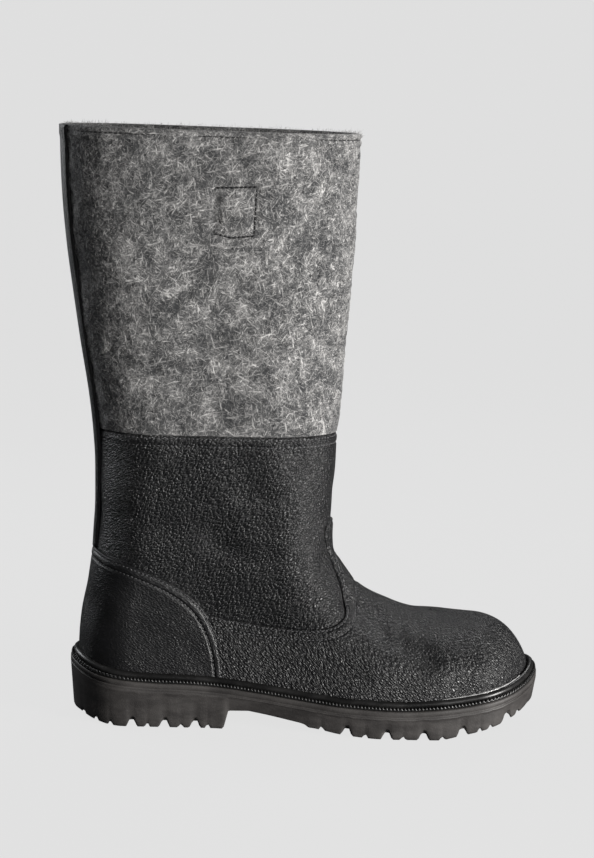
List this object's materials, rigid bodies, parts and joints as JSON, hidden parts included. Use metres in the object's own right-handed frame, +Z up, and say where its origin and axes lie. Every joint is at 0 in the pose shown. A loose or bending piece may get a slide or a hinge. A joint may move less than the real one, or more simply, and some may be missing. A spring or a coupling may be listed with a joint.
{
  "type": "valenki felt boot",
  "caption": "Right winter boot with a tall felt shaft on a black leather foot and leg, with vamp, counter and back stay, on a moulded lug sole with heel.",
  "frame": {"origin": "on the floor plane under the middle of the heel, on the flat of a heel lug", "axes": "+X to the toe, +Y to the inner side of the foot, +Z up the shaft"},
  "size_m": [0.3093, 0.1124, 0.377],
  "materials": {
    "sole_rubber": "matt moulded rubber",
    "bead_rubber": "smooth half-gloss rubber",
    "insole_felt": "soft fleece",
    "leather": "pebbled half-gloss leather",
    "felt": "mottled wool felt"
  },
  "bodies": {
    "root": {"outsole": "sole_rubber", "welt": "bead_rubber", "insole": "insole_felt", "upper": "leather", "vamp": "leather", "counter": "leather", "back_stay": "leather", "shaft": "felt"}
  },
  "joints": []
}
